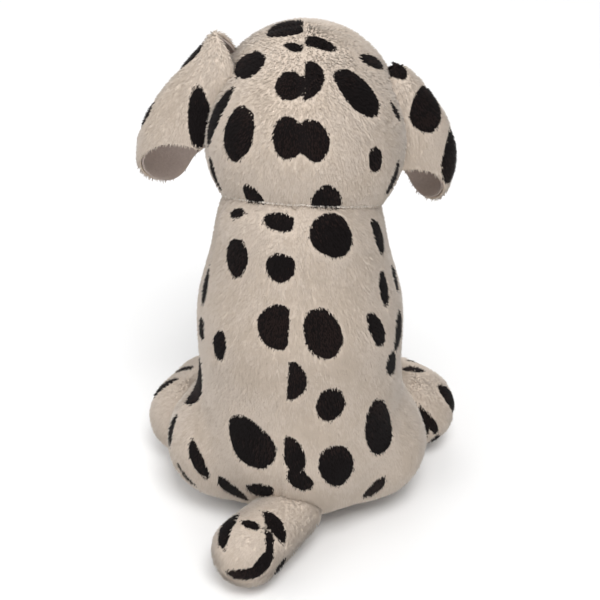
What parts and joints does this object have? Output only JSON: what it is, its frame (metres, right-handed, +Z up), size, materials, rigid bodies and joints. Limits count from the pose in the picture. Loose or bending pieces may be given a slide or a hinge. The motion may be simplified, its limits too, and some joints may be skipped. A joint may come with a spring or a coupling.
{
  "type": "plush dog",
  "caption": "Sitting spotted plush dog with floppy lined ears, long front legs, short hind legs set apart and a stubby curled tail.",
  "frame": {"origin": "on the ground, in the middle of the flat base the dog sits on", "axes": "+Z up; the dog faces -Y, so its left side is +X"},
  "size_m": [0.1645, 0.193, 0.2435],
  "materials": {
    "plush": "short spotted pile",
    "ear_lining": "smooth",
    "sole_fabric": "smooth",
    "stuffing": "loose fibre",
    "pouch_cloth": "woven",
    "pellets": "matte",
    "eye_plastic": "gloss",
    "nose_plastic": "satin",
    "washer_plastic": "matte",
    "black_thread": "thread",
    "white_thread": "thread"
  },
  "bodies": {
    "torso": {"back_panel_left": "plush", "back_panel_right": "plush", "belly_panel": "plush", "pellet_pouch": "pouch_cloth", "pellets": "pellets", "seat_panel": "plush", "torso_stuffing": "stuffing"},
    "neck": {"neck_seam_thread": "white_thread"},
    "head": {"cheek_left": "plush", "cheek_right": "plush", "chin_panel": "plush", "eye_left": "eye_plastic", "eye_right": "eye_plastic", "eye_washer_left": "washer_plastic", "eye_washer_right": "washer_plastic", "forehead_gusset": "plush", "head_back_left": "plush", "head_back_right": "plush", "head_stuffing": "stuffing", "mouth_stitch": "black_thread", "muzzle_left": "plush", "muzzle_right": "plush", "nose": "nose_plastic", "nose_washer": "washer_plastic"},
    "ear_left": {"ear_left_lining": "ear_lining", "ear_left_outer": "plush"},
    "ear_right": {"ear_right_lining": "ear_lining", "ear_right_outer": "plush"},
    "front_leg_left": {"front_leg_left_inner": "plush", "front_leg_left_outer": "plush", "front_leg_left_stuffing": "stuffing", "front_toe_stitches_left": "black_thread"},
    "front_leg_right": {"front_leg_right_inner": "plush", "front_leg_right_outer": "plush", "front_leg_right_stuffing": "stuffing", "front_toe_stitches_right": "black_thread"},
    "hind_leg_left": {"hind_leg_left_lower": "plush", "hind_leg_left_stuffing": "stuffing", "hind_leg_left_upper": "plush", "hind_sole_left": "sole_fabric"},
    "hind_leg_right": {"hind_leg_right_lower": "plush", "hind_leg_right_stuffing": "stuffing", "hind_leg_right_upper": "plush", "hind_sole_right": "sole_fabric"},
    "tail": {"tail_lower": "plush", "tail_stuffing": "stuffing", "tail_upper": "plush"}
  },
  "joints": [
    {"name": "head_turn", "type": "hinge", "parent": "torso", "child": "neck", "pos_m": [-0.0025, -0.027, 0.191], "axis": [-0.0575, -0.4372, 0.8975], "range_deg": [-40, 40], "stiffness_Nm_per_rad": 0.3},
    {"name": "head_nod", "type": "hinge", "parent": "neck", "child": "head", "pos_m": [-0.0025, -0.027, 0.191], "axis": [1, 0, 0], "range_deg": [-15, 20], "stiffness_Nm_per_rad": 0.5},
    {"name": "ear_left_flap", "type": "hinge", "parent": "head", "child": "ear_left", "pos_m": [0.032, -0.038, 0.238], "axis": [0, -1, 0], "range_deg": [0, 75]},
    {"name": "ear_right_flap", "type": "hinge", "parent": "head", "child": "ear_right", "pos_m": [-0.036, -0.038, 0.228], "axis": [0, 1, 0], "range_deg": [0, 75]},
    {"name": "front_leg_left_swing", "type": "hinge", "parent": "torso", "child": "front_leg_left", "pos_m": [0.034, -0.029, 0.097], "axis": [-1, 0, 0], "range_deg": [0, 35], "stiffness_Nm_per_rad": 0.15},
    {"name": "front_leg_right_swing", "type": "hinge", "parent": "torso", "child": "front_leg_right", "pos_m": [-0.034, -0.029, 0.097], "axis": [-1, 0, 0], "range_deg": [0, 35], "stiffness_Nm_per_rad": 0.15},
    {"name": "hind_leg_left_spread", "type": "hinge", "parent": "torso", "child": "hind_leg_left", "pos_m": [0.059, -0.031, 0.023], "axis": [0, 0, 1], "range_deg": [0, 35], "stiffness_Nm_per_rad": 0.15},
    {"name": "hind_leg_right_spread", "type": "hinge", "parent": "torso", "child": "hind_leg_right", "pos_m": [-0.0615, -0.037, 0.023], "axis": [0, 0, -1], "range_deg": [0, 35], "stiffness_Nm_per_rad": 0.15},
    {"name": "tail_wag", "type": "hinge", "parent": "torso", "child": "tail", "pos_m": [0.004, 0.042, 0.021], "axis": [0, 0, 1], "range_deg": [-12, 40], "stiffness_Nm_per_rad": 0.1}
  ]
}
